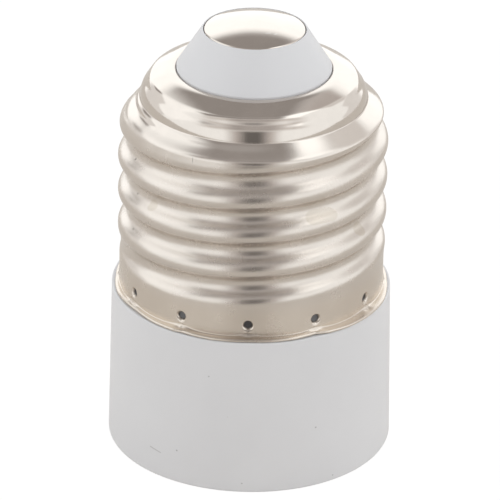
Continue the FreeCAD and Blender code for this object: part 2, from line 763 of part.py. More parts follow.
tab_bent = dress(sleeve_tab, "Fillet", "tab_hollows", tab, tab_hollows, "Radius", "tab_bend")
tab_backs = bend_edges(tab_bent, "y", (("tab_outer", "tab_top_z"), ("tab_offset", "tab_top_z")))
dress(
    sleeve_tab, "Fillet", "tab_backs", tab_bent, tab_backs, "Radius", "tab_bend + sleeve_sheet"
)
sleeve_start = number("sleeve_foot_z") + number("sleeve_groove_margin")
sleeve_end = number("sleeve_head_z") - number("sleeve_groove_margin")
small_thread = RolledThread(
    number("sleeve_foot_z"),
    number("sleeve_head_z"),
    number("sleeve_pitch"),
    number("sleeve_depth"),
    number("sleeve_head_z") - number("sleeve_start_drop"),
    (
        sleeve_start,
        sleeve_start + number("groove_in_height"),
        sleeve_end - number("groove_in_height"),
        sleeve_end,
    ),
    number("groove_edge_height"),
    lambda height: number("sleeve_crest_radius"),
)
sleeve_zone = number("sleeve_head_z") - number("sleeve_foot_z")
small_rows = round(sleeve_zone / number("sleeve_pitch") * THREAD_ROWS_PER_PITCH)
sleeve_threaded = shape_feature(
    "sleeve_thread", small_thread.ring(THREAD_COLUMNS, small_rows, number("sleeve_sheet"))
)
inner_sleeve = fused("inner_sleeve", [sleeve_threaded, sleeve_foot, sleeve_head, sleeve_tab])

# Centre leaf
# A bent spring strip: foot under the chamber's ceiling, upright, sloping tongue with a rounded nose.

centre_leaf = new_body("centre_leaf")
leaf_sketch = outline(
    centre_leaf,
    "strip",
    "XZ_Plane",
    (
        ("leaf_foot_tail", "foot_top_z"),
        ("-leaf_reach", "foot_top_z"),
        ("-leaf_reach", "knee_z"),
        ("0", "nose_z"),
        ("nose_tail", "nose_end_z"),
        ("nose_tail", "nose_end_top_z"),
        ("nose_top_x", "nose_top_z"),
        ("-leaf_inner", "knee_inner_z"),
        ("-leaf_inner", "foot_under_z"),
        ("leaf_foot_tail", "foot_under_z"),
    ),
)
leaf_strip = pad(centre_leaf, "strip", leaf_sketch, "leaf_width")
upper_hollows = bend_edges(
    leaf_strip, "x", (("-leaf_inner", "foot_under_z"), ("-leaf_inner", "knee_inner_z"))
)
bent = dress(
    centre_leaf, "Fillet", "upper_hollows", leaf_strip, upper_hollows, "Radius", "leaf_bend"
)
upper_backs = bend_edges(bent, "x", (("-leaf_reach", "foot_top_z"), ("-leaf_reach", "knee_z")))
bent_twice = dress(
    centre_leaf, "Fillet", "upper_backs", bent, upper_backs, "Radius", "leaf_bend + leaf_thickness"
)
nose_hollow = bend_edges(bent_twice, "x", (("nose_top_x", "nose_top_z"),))
nosed = dress(centre_leaf, "Fillet", "nose_hollow", bent_twice, nose_hollow, "Radius", "nose_bend")
nose_back = bend_edges(nosed, "x", (("0", "nose_z"),))
dress(
    centre_leaf, "Fillet", "nose_back", nosed, nose_back, "Radius", "nose_bend + leaf_thickness"
)
rivet_hole = centre_leaf.newObject("PartDesign::SubtractiveCylinder", "rivet_hole")
bind(rivet_hole, "Radius", "stem_bore_radius")
bind(rivet_hole, "Height", "3 * leaf_thickness")
bind(rivet_hole, "Placement.Base.z", "foot_under_z - leaf_thickness")
doc.recompute()

for item in doc.Objects:
    if {"Invalid", "Error"} & set(item.State):
        raise RuntimeError(f"{item.Name} did not build: {item.State}")

os.makedirs("parts", exist_ok=True)
for piece in (housing, screw_shell, tip_contact, inner_sleeve, centre_leaf):
    shape = piece.Shape
    if shape.isNull() or not shape.isValid() or len(shape.Solids) != 1:
        raise RuntimeError(f"{piece.Label} is not one sound solid")
    shape.Solids[0].exportStep(f"parts/{piece.Label}.step")
    box = shape.BoundBox
    print(piece.Label, round(shape.Volume, 1), round(box.ZMin, 3), round(box.ZMax, 3))
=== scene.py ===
"""Looks of a lamp socket adapter: white moulding, rolled nickel screw shell, domed contact, small threaded
sleeve and spring leaf. Every shape is worked out in millimetres and placed in the frame's metres."""

import math

import bpy
import numpy as np
from bpy.props import FloatProperty, FloatVectorProperty, IntProperty, PointerProperty
from bpy.types import Operator, Panel, PropertyGroup
from mathutils import Matrix, Vector


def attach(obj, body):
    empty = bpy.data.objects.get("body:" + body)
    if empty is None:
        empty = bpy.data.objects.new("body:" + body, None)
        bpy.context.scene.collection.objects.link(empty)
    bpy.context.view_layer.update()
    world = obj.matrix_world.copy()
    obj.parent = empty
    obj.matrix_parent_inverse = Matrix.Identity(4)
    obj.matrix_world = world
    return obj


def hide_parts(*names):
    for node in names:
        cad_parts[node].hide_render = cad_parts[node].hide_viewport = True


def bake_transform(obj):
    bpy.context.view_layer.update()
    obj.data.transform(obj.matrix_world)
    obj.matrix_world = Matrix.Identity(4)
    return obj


bl_info = {
    "name": "Lamp socket adapter",
    "version": (1, 0, 0),
    "blender": (4, 5, 0),
    "location": "View3D > Sidebar > Adapter",
    "description": "Builds the detailed pieces, finishes and stage of a lamp socket adapter",
    "category": "Object",
}

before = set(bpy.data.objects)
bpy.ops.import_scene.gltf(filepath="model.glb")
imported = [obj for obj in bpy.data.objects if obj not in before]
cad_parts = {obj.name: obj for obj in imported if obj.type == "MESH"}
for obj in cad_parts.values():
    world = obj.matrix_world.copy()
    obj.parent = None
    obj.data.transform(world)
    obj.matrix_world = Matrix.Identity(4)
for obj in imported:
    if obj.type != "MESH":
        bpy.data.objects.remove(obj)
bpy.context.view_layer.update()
MM = 0.001


def length(name, default_mm, description):
    return FloatProperty(
        name=name, description=description, default=default_mm * MM, unit="LENGTH", precision=5
    )


def shade(name, default, description):
    return FloatVectorProperty(
        name=name, description=description, default=default, subtype="COLOR", size=3, min=0, max=1
    )


class ShellSizes(PropertyGroup):
    """The rolled screw shell."""

    lip_radius: length("Lip radius", 13.56, "Outside of the flared lip")
    lip_foot: length("Lip foot", 16.25, "Height of the lip's underside")
    band_radius: length("Band radius", 12.95, "Outside of the plain band")
    thread_foot: length("Thread foot", 19.2, "Height at which the thread's zone starts")
    crease_height: length("Crease height", 36.1, "Height of the crease below the shoulder")
    crest_radius: length("Crest radius", 13.1, "Outside of the thread's crests")
    root_radius: length("Root radius", 12.0, "Outside of the thread's roots")
    pitch: length("Pitch", 3.629, "Rise of the thread in one turn")
    first_crest: length("First crest drop", 4.42, "Crease down to the first full crest at +X")
    crease_radius: length("Crease radius", 11.0, "Outside of the shoulder at its crease")
    opening_radius: length("Opening radius", 7.54, "Opening for the white cone")
    opening_height: length("Opening height", 39.12, "Height of the opening's outer edge")
    sheet: length("Sheet", 0.3, "Thickness of the sheet")
    dimple_height: length("Dimple height", 17.75, "Height of the punched dimples")
    dimple_radius: length("Dimple radius", 0.6, "Radius of a dimple at the surface")
    dimple_depth: length("Dimple depth", 0.62, "Depth of a dimple")
    dimples: IntProperty(name="Dimples", description="Dimples in the row", default=12, min=3)


class HousingSizes(PropertyGroup):
    """The white moulding."""

    rim_radius: length("Rim radius", 13.98, "Outside of the skirt at the rim")
    ledge_radius: length("Ledge radius", 13.68, "Outside of the skirt at the ledge")
    ledge_height: length("Ledge height", 16.2, "Height of the ledge under the shell's lip")
    mouth_radius: length("Mouth radius", 10.4, "Inside of the rim")
    mouth_depth: length("Mouth depth", 5.8, "Rim up to the mouth's inner end")
    bore_radius: length("Bore radius", 7.43, "Bore that holds the small sleeve")
    bore_top: length("Bore top", 23.4, "Top of that bore")
    chamber_radius: length("Chamber radius", 6.1, "Space above the small sleeve")
    chamber_top: length("Chamber top", 30.0, "Ceiling of that space")
    cone_base_radius: length("Cone base radius", 7.5, "White cone at the shell's opening")
    cone_base: length("Cone base", 39.265, "Height of the cone's base edge")
    cone_top: length("Cone top", 43.135, "Height of the cone's top edge")
    cone_top_radius: length("Cone top radius", 5.06, "Radius of the cone's top edge")
    recess_radius: length("Recess radius", 4.96, "Recess for the contact")


class ContactSizes(PropertyGroup):
    """The domed contact."""

    radius: length("Radius", 4.91, "Radius of the domed head")
    dome_rise: length("Dome rise", 0.82, "Dome above its own edge")
    stem_radius: length("Stem radius", 1.5, "Radius of the stem")
    peen_radius: length("Peen radius", 2.3, "Radius of the peened end")


class SocketSizes(PropertyGroup):
    """The small sleeve and its spring leaf."""

    crest_radius: length("Crest radius", 7.28, "Outside of the sleeve")
    root_radius: length("Root radius", 6.53, "Outside of the sheet at the rolled groove")
    pitch: length("Pitch", 2.822, "Rise of the small thread in one turn")
    sheet: length("Sheet", 0.25, "Thickness of the sleeve's sheet")
    lip_radius: length("Lip radius", 8.3, "Outside of the sleeve's lip")
    port_radius: length("Port radius", 5.2, "Hole in the sleeve's closed end")
    tab_width: length("Tab width", 3.6, "Width of the lanced tab")
    leaf_width: length("Leaf width", 4.4, "Width of the spring leaf")
    leaf_thickness: length("Leaf thickness", 0.35, "Thickness of the spring leaf")


class Finishes(PropertyGroup):
    """Colours of the finishes."""

    plastic: shade("Plastic", (0.80, 0.805, 0.825), "White moulding")
    nickel: shade("Nickel", (0.71, 0.655, 0.60), "Nickel plating")
    bronze: shade("Bronze", (0.62, 0.40, 0.19), "Spring leaf")


class Stage(PropertyGroup):
    """Camera, lights and floor."""

    elevation: FloatProperty(
        name="Elevation", description="Camera above the horizon", default=0.456472, unit="ROTATION"
    )
    distance: length("Distance", 471.585, "Camera to the point it was set up on")
    target_height: length("Target height", 22.0, "Height of that point on the axis")
    focal_pixels: FloatProperty(
        name="Focal length", description="In pixels of the 500 pixel picture", default=4820.03
    )
    roll: FloatProperty(name="Roll", description="Camera roll", default=0.01515, unit="ROTATION")
    world_level: FloatProperty(name="World level", description="Brightness of the room", default=1.0)
    floor_shade: shade("Floor", (0.82, 0.785, 0.74), "Table and backdrop")


# Meshes


def mesh_object(name, points, quads, triangles):
    """A smooth mesh from points in millimetres and index arrays of its quads and triangles."""
    mesh = bpy.data.meshes.new(name)
    corners = np.concatenate([quads.ravel(), triangles.ravel()]).astype(np.int32)
    sides = np.concatenate([np.full(len(quads), 4), np.full(len(triangles), 3)])
    starts = np.concatenate([[0], np.cumsum(sides)[:-1]])
    mesh.vertices.add(len(points))
    mesh.vertices.foreach_set("co", (points * MM).astype(np.float32).ravel())
    mesh.loops.add(len(corners))
    mesh.loops.foreach_set("vertex_index", corners)
    mesh.polygons.add(len(sides))
    mesh.polygons.foreach_set("loop_start", starts.astype(np.int32))
    mesh.polygons.foreach_set("loop_total", sides.astype(np.int32))
    mesh.update(calc_edges=True)
    mesh.polygons.foreach_set("use_smooth", np.ones(len(sides), bool))
    mesh.validate()
    piece = bpy.data.objects.new(name, mesh)
    bpy.context.scene.collection.objects.link(piece)
    return piece


def loop_object(name, grid):
    """A ring solid. grid[u, v] goes round Z with u and round a closed section with v, anticlockwise in
    radius and height, so that every face points outwards."""
    count_u, count_v = grid.shape[:2]
    here = np.arange(count_u * count_v).reshape(count_u, count_v)
    beside = np.roll(here, -1, axis=0)
    quads = np.stack([here, beside, np.roll(beside, -1, axis=1), np.roll(here, -1, axis=1)], axis=-1)
    return mesh_object(name, grid.reshape(-1, 3), quads.reshape(-1, 4), np.zeros((0, 3), int))


def in_mm(settings, *names):
    """Lengths of a group of settings, in millimetres."""
    return [getattr(settings, name) / MM for name in names]


def turned(radius, height, angles):
    """Radii and heights turned round Z into points, x = r cos a and y = r sin a. Both have one row for all
    the angles, or a row for each of them."""
    across, back = radius * np.cos(angles)[:, None], radius * np.sin(angles)[:, None]
    return np.stack(np.broadcast_arrays(across, back, height), axis=-1)


def capped_object(name, profile, angles):
    """A solid of revolution whose section starts and ends on the axis, closed there with a fan."""
    grid = turned(*profile[1:-1].T, angles)
    count_u, count_v = grid.shape[:2]
    here = np.arange(count_u * count_v).reshape(count_u, count_v)
    beside = np.roll(here, -1, axis=0)
    quads = np.stack([here[:, :-1], beside[:, :-1], beside[:, 1:], here[:, 1:]], axis=-1)
    first, last = count_u * count_v, count_u * count_v + 1
    low_fan = np.stack([np.full(count_u, first), beside[:, 0], here[:, 0]], axis=-1)
    high_fan = np.stack([here[:, -1], beside[:, -1], np.full(count_u, last)], axis=-1)
    ends = np.array([[0, 0, profile[0, 1]], [0, 0, profile[-1, 1]]])
    points = np.vstack([grid.reshape(-1, 3), ends])
    return mesh_object(name, points, quads.reshape(-1, 4), np.vstack([low_fan, high_fan]))


def rounded(corners, closed=True, steps=6, hold=0.12):
    """A polygon whose corners are turned into arcs. Each corner is (x, y, radius). The arc touches both
    sides at radius / tan(half the corner's angle) from the corner, and one more point on each side, a
    little further along, keeps the shading of the straight runs flat."""
    corners = np.asarray(corners, float)
    points, radii = corners[:, :2], corners[:, 2]
    to_last = np.roll(points, 1, axis=0) - points
    to_next = np.roll(points, -1, axis=0) - points
    run_last = np.linalg.norm(to_last, axis=1)
    run_next = np.linalg.norm(to_next, axis=1)
    to_last = to_last / run_last[:, None]
    to_next = to_next / run_next[:, None]
    half = np.arccos(np.clip((to_last * to_next).sum(axis=1), -1, 1)) / 2
    reach = radii / np.tan(half)
    inwards = to_last + to_next
    inwards = inwards / np.maximum(np.linalg.norm(inwards, axis=1), 1e-9)[:, None]
    centre = points + inwards * (radii / np.sin(half))[:, None]
    start = points + to_last * reach[:, None] - centre
    end = points + to_next * reach[:, None] - centre
    first = np.arctan2(start[:, 1], start[:, 0])
    sweep = (np.arctan2(end[:, 1], end[:, 0]) - first + np.pi) % (2 * np.pi) - np.pi
    turn = first[:, None] + sweep[:, None] * np.linspace(0, 1, steps)
    arc = centre[:, None] + radii[:, None, None] * np.stack([np.cos(turn), np.sin(turn)], axis=-1)
    hold_last = np.minimum(hold, 0.3 * (run_last - reach))
    hold_next = np.minimum(hold, 0.3 * (run_next - reach))
    before = arc[:, :1] + (to_last * hold_last[:, None])[:, None]
    after = arc[:, -1:] + (to_next * hold_next[:, None])[:, None]
    rows = np.concatenate([before, arc, after], axis=1)
    if closed:
        return rows.reshape(-1, 2)
    return np.vstack([points[:1], rows[1:-1].reshape(-1, 2), points[-1:]])


def around(count):
    return np.arange(count) * (2 * np.pi / count)


def ease(share):
    """0 to 1 with no slope and no curvature at either end: 6 t^5 - 15 t^4 + 10 t^3."""
    share = np.clip(share, 0, 1)
    return share**3 * (share * (6 * share - 15) + 10)


def groove(phase, pitch, depth):
    """Depth of a rolled groove at a phase, 0 and 1 on its crests: two equal arcs that meet at half depth."""
    arc = (depth**2 / 4 + pitch**2 / 16) / depth
    from_crest = np.minimum(phase, 1 - phase) * pitch
    from_root = pitch / 2 - from_crest
    near_crest = arc - np.sqrt(np.maximum(arc**2 - from_crest**2, 0))
    near_root = depth - arc + np.sqrt(np.maximum(arc**2 - from_root**2, 0))
    return np.where(from_crest < from_root, near_crest, near_root)


def rolled_depth(angle, height, pitch, depth, crest, fades, zone):
    """Depth of a helical groove. One crest passes through the height crest at +X and rises by the pitch in
    a turn. A groove deepens and fades with the height of its middle, between the four heights of fades, and
    at both ends of its zone."""
    turns = (height - crest) / pitch - angle / (2 * np.pi)
    phase = turns - np.floor(turns)
    middle = height + (0.5 - phase) * pitch
    start, deep, fading, faded = fades
    strength = ease((middle - start) / (deep - start)) * ease((faded - middle) / (faded - fading))
    cut = strength * groove(phase, pitch, depth)
    run_out = 0.8
    return cut * ease((height - zone[0]) / run_out) * ease((zone[1] - height) / run_out)


def finish_piece(piece, material, body, slot_name, *nodes):
    piece.data.materials.append(material)
    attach(piece, body)
    if nodes:
        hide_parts(*nodes)


# Node trees


class Nodes:
    """Adds nodes to one tree and links them. An input is a socket, a number or a tuple."""

    def __init__(self, tree):
        self.tree = tree

    def feed(self, socket, value):
        if isinstance(value, bpy.types.NodeSocket):
            self.tree.links.new(value, socket)
        else:
            socket.default_value = value

    def fill(self, node, **inputs):
        """Feeds a node's inputs by name, with an underscore for each space."""
        for name, value in inputs.items():
            self.feed(node.inputs[name.replace("_", " ")], value)
        return node

    def add(self, kind, settings=None, **inputs):
        node = self.tree.nodes.new(kind)
        for name, value in (settings or {}).items():
            setattr(node, name, value)
        return self.fill(node, **inputs)

    def group(self, name, **inputs):
        return self.add("ShaderNodeGroup", {"node_tree": shared_group(name)}, **inputs)

    def maths(self, operation, *values, clamp=False):
        node = self.add("ShaderNodeMath", {"operation": operation, "use_clamp": clamp})
        for socket, value in zip(node.inputs, values):
            self.feed(socket, value)
        return node.outputs[0]

    def times(self, first, second):
        return self.maths("MULTIPLY", first, second)

    def vector(self, operation, *values):
        node = self.add("ShaderNodeVectorMath", {"operation": operation})
        for socket, value in zip([s for s in node.inputs if s.name == "Vector"], values):
            self.feed(socket, value)
        return node.outputs["Value" if operation in ("DOT_PRODUCT", "DISTANCE") else "Vector"]

    def ramp(self, value, low, high, start=0.0, end=1.0):
        """start below low, end above high, smooth between."""
        node = self.add("ShaderNodeMapRange", {"interpolation_type": "SMOOTHSTEP"})
        self.fill(node, Value=value, From_Min=low, From_Max=high, To_Min=start, To_Max=end)
        return node.outputs["Result"]

    def blend(self, factor, first, second):
        """From the first colour at 0 to the second at 1. The mix node's sockets share their names, so they
        are taken by number."""
        node = self.add("ShaderNodeMix", {"data_type": "RGBA"})
        for index, value in ((0, factor), (6, first), (7, second)):
            self.feed(node.inputs[index], value)
        return node.outputs[2]

    def noise(self, vector, scale, detail=3.0, roughness=0.5):
        node = self.add("ShaderNodeTexNoise", Vector=vector, Scale=scale)
        return self.fill(node, Detail=detail, Roughness=roughness).outputs["Fac"]


def new_group(name, inputs, *outputs):
    """A group whose inputs are numbers where they have a default and else vectors, and whose outputs are
    numbers."""
    tree = bpy.data.node_groups.new(name, "ShaderNodeTree")
    for label, default in inputs.items():
        kind = "NodeSocketVector" if default is None else "NodeSocketFloat"
        socket = tree.interface.new_socket(label, in_out="INPUT", socket_type=kind)
        if default is not None:
            socket.default_value = default
    for label in outputs:
        tree.interface.new_socket(label, in_out="OUTPUT", socket_type="NodeSocketFloat")
    nodes = Nodes(tree)
    return tree, nodes, nodes.add("NodeGroupInput").outputs, nodes.add("NodeGroupOutput").inputs


def mark_group():
    """A mark along the straight line from one point to another, both in millimetres. It is 1 within the
    width and fades over the softness."""
    inputs = {"Position": None, "From": None, "To": None, "Width": 0.1, "Softness": 0.1}
    tree, nodes, given, out = new_group("mark", inputs, "Mask")
    line = nodes.vector("SUBTRACT", given["To"], given["From"])
    offset = nodes.vector("SUBTRACT", given["Position"], given["From"])
    ahead, whole = nodes.vector("DOT_PRODUCT", offset, line), nodes.vector("DOT_PRODUCT", line, line)
    along = nodes.maths("DIVIDE", ahead, whole, clamp=True)
    foot = nodes.add("ShaderNodeVectorMath", {"operation": "SCALE"}, Vector=line, Scale=along)
    gap = nodes.vector("DISTANCE", offset, foot.outputs["Vector"])
    edge = nodes.maths("ADD", given["Width"], given["Softness"])
    nodes.feed(out["Mask"], nodes.ramp(gap, given["Width"], edge, 1.0, 0.0))
    return tree


def speck_group():
    """Small round specks, sparse and unevenly sized: cells whose random share is over 1 - Share show a dot
    of up to Size."""
    inputs = {"Position": None, "Cells per mm": 1.0, "Share": 0.1, "Size": 0.1}
    tree, nodes, given, out = new_group("specks", inputs, "Mask")
    cells = nodes.add("ShaderNodeTexVoronoi", Vector=given["Position"], Scale=given["Cells per mm"])
    apart = nodes.add("ShaderNodeSeparateColor", Color=cells.outputs["Color"])
    floor = nodes.maths("SUBTRACT", 1.0, given["Share"])
    chosen = nodes.maths("GREATER_THAN", apart.outputs[0], floor)
    size = nodes.times(given["Size"], apart.outputs[1])
    dot = nodes.maths("LESS_THAN", cells.outputs["Distance"], size)
    nodes.feed(out["Mask"], nodes.times(chosen, dot))
    return tree


def grain_group():
    """Fine lines left by the tools that drew and rolled the sheet. Upright ones come from noise that is
    stretched along Z, level ones from noise that is stretched round the axis. Lines is their height with a
    little speckle, and Patches is a broad noise for the gloss."""
    inputs = {"Position": None, "Upright": 1.0, "Level": 0.5}
    tree, nodes, given, out = new_group("drawn grain", inputs, "Lines", "Patches")
    lines = None
    for stretch, share in (((9.0, 9.0, 0.7), given["Upright"]), ((0.35, 0.35, 11.0), given["Level"])):
        stretched = nodes.vector("MULTIPLY", given["Position"], stretch)
        noise = nodes.noise(stretched, scale=1.0, detail=2.0, roughness=0.6)
        part = nodes.times(noise, share)
        lines = part if lines is None else nodes.maths("ADD", lines, part)
    speckle = nodes.noise(given["Position"], scale=7.0, detail=2.0, roughness=0.7)
    speckle_share = 0.6
    lines = nodes.maths("ADD", lines, nodes.times(speckle, speckle_share))
    nodes.feed(out["Lines"], lines)
    patches = nodes.noise(given["Position"], scale=0.35, detail=4.0, roughness=0.6)
    nodes.feed(out["Patches"], patches)
    return tree


GROUP_MAKERS = {"mark": mark_group, "specks": speck_group, "drawn grain": grain_group}


def shared_group(name):
    """The node group of that name, made at its first use."""
    return bpy.data.node_groups.get(name) or GROUP_MAKERS[name]()


def shared_material(name, make, finish, *settings):
    """The material of that name, made at its first use in the colour of a finish."""
    colour = getattr(bpy.context.scene.adapter_finishes, finish)
    return bpy.data.materials.get(name) or make(name, colour, *settings)


def new_material(name):
    """A material with an empty tree but for its shader and output, and the position on the piece in mm."""
    material = bpy.data.materials.new(name)
    material.use_nodes = True
    nodes = Nodes(material.node_tree)
    place = nodes.add("ShaderNodeTexCoord").outputs["Object"]
    position = nodes.vector("MULTIPLY", place, (1 / MM, 1 / MM, 1 / MM))
    return material, nodes, nodes.tree.nodes["Principled BSDF"], position


def rgba(colour, factor=1.0):
    return (colour[0] * factor, colour[1] * factor, colour[2] * factor, 1.0)


def plastic_material(name, colour):
    """White moulding: cool, satin, with faint flow clouds, moulding specks and a few scratches."""
    material, nodes, shader, position = new_material(name)
    clouds = nodes.noise(position, scale=0.12, detail=3.0, roughness=0.5)
    tone = nodes.blend(nodes.ramp(clouds, 0.3, 0.7), rgba(colour, 0.985), rgba(colour, 1.01))
    specks = nodes.group("specks", Position=position, Cells_per_mm=0.55, Share=0.16, Size=0.075)
    speck_strength = 0.22
    tone = nodes.blend(nodes.times(specks.outputs[0], speck_strength), tone, rgba(SPECK))
    tone = with_marks(nodes, position, tone, PLASTIC_MARKS)
    fine = nodes.noise(position, scale=3.0, detail=3.0, roughness=0.6)
    gloss = nodes.ramp(fine, 0.3, 0.7, 0.34, 0.42)
    relief = nodes.add("ShaderNodeBump", Strength=0.06, Distance=0.00004, Height=fine)
    nodes.fill(shader, Base_Color=tone, Roughness=gloss, IOR=1.5, Normal=relief.outputs[0])
    return material


# Wear that the photo shows, in millimetres on the piece: from, to, width, softness, strength, colour. A
# round spot has both ends close together.
WHITE = (1.0, 1.0, 1.0)
DARK, TAN, PALE = (0.10, 0.09, 0.08), (0.50, 0.43, 0.33), (0.95, 0.93, 0.90)
# The band's tan below is a painted warm reflection of the floor.
# The pits' near black below is painted shade in the dimples.
SPECK, PIT_SHADE, BAND_REFLECTION_TAN = (0.33, 0.31, 0.29), (0.13, 0.13, 0.135), (0.72, 0.63, 0.52)
PLASTIC_MARKS = (
    ((-9.6, -10.1, 2.85), (-8.6, -11.0, 2.65), 0.03, 0.06, 0.30, DARK),
    ((-3.95, -13.17, 12.3), (-3.9, -13.17, 12.3), 0.04, 0.05, 0.35, DARK),
    ((-7.0, -12.03, 3.5), (-6.95, -12.03, 3.5), 0.05, 0.05, 0.40, DARK),
    ((6.47, -12.26, 6.4), (6.52, -12.26, 6.4), 0.05, 0.06, 0.35, DARK),
    ((8.25, -11.27, 0.6), (8.3, -11.27, 0.6), 0.04, 0.05, 0.40, DARK),
    ((-0.63, -13.95, 1.0), (-0.58, -13.95, 1.0), 0.04, 0.05, 0.35, DARK),
)
SHELL_MARKS = (
    ((5.9, -11.2, 28.6), (7.6, -10.3, 28.6), 0.75, 0.08, 0.28, TAN),
    ((-9.55, -7.72, 27.8), (-9.5, -7.72, 27.9), 0.50, 0.15, 0.30, TAN),
    ((10.27, -6.76, 25.0), (10.27, -6.76, 25.3), 0.62, 0.12, 0.30, TAN),
    ((6.25, -11.16, 27.9), (6.3, -11.16, 27.9), 0.05, 0.06, 0.85, DARK),
    ((-1.45, -12.4, 27.85), (-0.3, -12.5, 28.15), 0.02, 0.05, 0.55, PALE),
    ((-0.3, -12.5, 28.15), (0.3, -12.3, 28.7), 0.02, 0.05, 0.45, PALE),
    ((-11.3, -4.9, 31.6), (-11.25, -4.6, 31.2), 0.05, 0.12, 0.55, DARK),
    ((-11.1, -5.4, 28.0), (-11.05, -5.0, 27.8), 0.05, 0.10, 0.50, DARK),
    ((-11.5, -4.8, 23.9), (-11.4, -4.4, 23.6), 0.05, 0.10, 0.50, DARK),
    ((-5.7, -11.4, 33.9), (-5.7, -11.4, 34.8), 0.02, 0.04, 0.40, DARK),
)
CONTACT_MARKS = (
    ((1.1, -2.4, 43.7), (1.5, -2.3, 43.7), 0.03, 0.05, 0.70, PALE),
    ((1.9, -2.45, 43.65), (2.1, -2.3, 43.65), 0.03, 0.05, 0.60, PALE),
)


def with_marks(nodes, position, tone, marks):
    """The colour with each of the marks laid over it."""
    for start, end, width, softness, strength, colour in marks:
        mark = nodes.group("mark", Position=position, From=start, To=end, Width=width, Softness=softness)
        tone = nodes.blend(nodes.times(mark.outputs[0], strength), tone, rgba(colour))
    return tone


def pits_mask(nodes, place):
    """1 in the punched pits: close to the band's foot and inside the band's own radius."""
    squares = [nodes.maths("POWER", place[axis], 2.0) for axis in "XY"]
    radius = nodes.maths("SQRT", nodes.maths("ADD", *squares))
    level = nodes.ramp(place["Z"], 18.5, 18.7, 1.0, 0.0)
    return nodes.times(level, nodes.ramp(radius, 12.62, 12.86, 1.0, 0.0))


def nickel_material(name, colour, satin, marks, rolled=False):
    """Nickel plating: warm metal with drawing lines, cloudy gloss and the marks of handling. Satin is the
    roughness of the clearest and the cloudiest patches. On the rolled shell the thread and the band are
    more satin than the shoulder, the band is tinted tan as a painted warm reflection of the floor, and
    the pits are painted dark as shade."""
    material, nodes, shader, position = new_material(name)
    grain = nodes.group("drawn grain", Position=position, Upright=1.0, Level=0.35).outputs
    patches = grain["Patches"]
    tone = nodes.blend(nodes.ramp(patches, 0.35, 0.7), rgba(colour, 0.97), rgba(colour, 1.02))
    tone = with_marks(nodes, position, tone, marks)
    gloss = nodes.ramp(patches, 0.3, 0.7, *satin)
    depth = 0.05
    if rolled:
        place = nodes.add("ShaderNodeSeparateXYZ", Vector=position).outputs
        pit_shade, height = pits_mask(nodes, place), place["Z"]
        reflection_tint_share, pit_shade_satin = 0.35, 0.2
        # Painted reflection: the band and the thread's foot are tinted tan as if they mirrored the warm
        # floor.
        tan = nodes.times(nodes.ramp(height, 18.4, 20.4, 1.0, 0.0), reflection_tint_share)
        tone = nodes.blend(tan, tone, rgba(BAND_REFLECTION_TAN))
        # Painted shade: the dimples' pits are darkened as hollows, and below they are made more satin.
        tone = nodes.blend(pit_shade, tone, rgba(PIT_SHADE))
        gloss = nodes.maths("ADD", gloss, nodes.ramp(height, 34.3, 35.8, 0.17, 0.0))
        gloss = nodes.maths("ADD", gloss, nodes.times(pit_shade, pit_shade_satin))
        depth = nodes.ramp(height, 33.5, 36.0, 0.16, 0.04)
        rings = nodes.add("ShaderNodeTangent", {"direction_type": "RADIAL", "axis": "Z"})
        nodes.fill(shader, Anisotropic=0.85, Anisotropic_Rotation=0.25, Tangent=rings.outputs[0])
    relief = nodes.add("ShaderNodeBump", Strength=depth, Distance=0.00003, Height=grain["Lines"])
    nodes.fill(shader, Base_Color=tone, Metallic=1.0, Roughness=gloss, Normal=relief.outputs[0])
    return material


def contact_nickel():
    """The brighter plating of the contact and the small sleeve."""
    return shared_material("contact_nickel", nickel_material, "nickel", (0.06, 0.09), CONTACT_MARKS)


def bronze_material(name, colour):
    """Spring bronze: warm, rolled along the strip, slightly dulled in patches."""
    material, nodes, shader, position = new_material(name)
    stretched = nodes.vector("MULTIPLY", position, (0.6, 14.0, 0.6))
    rolled = nodes.noise(stretched, scale=1.0, detail=3.0, roughness=0.6)
    patches = nodes.group("drawn grain", Position=position).outputs["Patches"]
    tone = nodes.blend(nodes.ramp(patches, 0.35, 0.65), rgba(colour, 0.85), rgba(colour, 1.1))
    gloss = nodes.ramp(patches, 0.3, 0.7, 0.22, 0.36)
    relief = nodes.add("ShaderNodeBump", Strength=0.12, Distance=0.00002, Height=rolled)
    nodes.fill(shader, Base_Color=tone, Metallic=1.0, Roughness=gloss, Normal=relief.outputs[0])
    return material


# Screw shell


def dimple_columns(count, spread, close, apart):
    """Angles round the axis, close together across each dimple and wider between: each cell of the row has
    close steps over twice the spread, and apart steps over the rest."""
    cell = 2 * np.pi / count
    near = np.linspace(-spread, spread, close, endpoint=False)
    far = np.linspace(spread, cell - spread, apart, endpoint=False)
    steps = np.concatenate([near, far])
    return (np.arange(count)[:, None] * cell + steps).ravel()


# The lip isn't quite round: angle from the front in degrees, and how far it stands out in millimetres.
LIP_WAVE = (
    (-180, 0.0), (-90, -0.25), (-73, 0.0), (-65, -0.08), (-57, -0.18), (-50, -0.06), (-43, 0.08),
    (-33, 0.15), (-29, 0.02), (-24, 0.12), (-16, 0.2), (0, 0.08), (10, 0.14), (18, 0.1), (23, -0.06),
    (28, -0.2), (34, 0.2), (43, 0.36), (55, 0.34), (70, 0.22), (80, -0.05), (90, -0.2), (180, 0.0),
)
# Outside of the shoulder, from the opening out to the crease: the way along it, and the elevation of its
# normal in degrees. It is nearly upright at the opening, falls slowly over the roof, drops at the step where
# the roof ends, and comes back before it goes level at the crease.
SHOULDER_TILTS = (
    (0.0, 86), (0.62, 72), (0.9, 67), (2.15, 61), (2.45, 37),
    (2.89, 26), (3.23, 38), (3.57, 30), (3.87, 20), (4.71, 2),
)


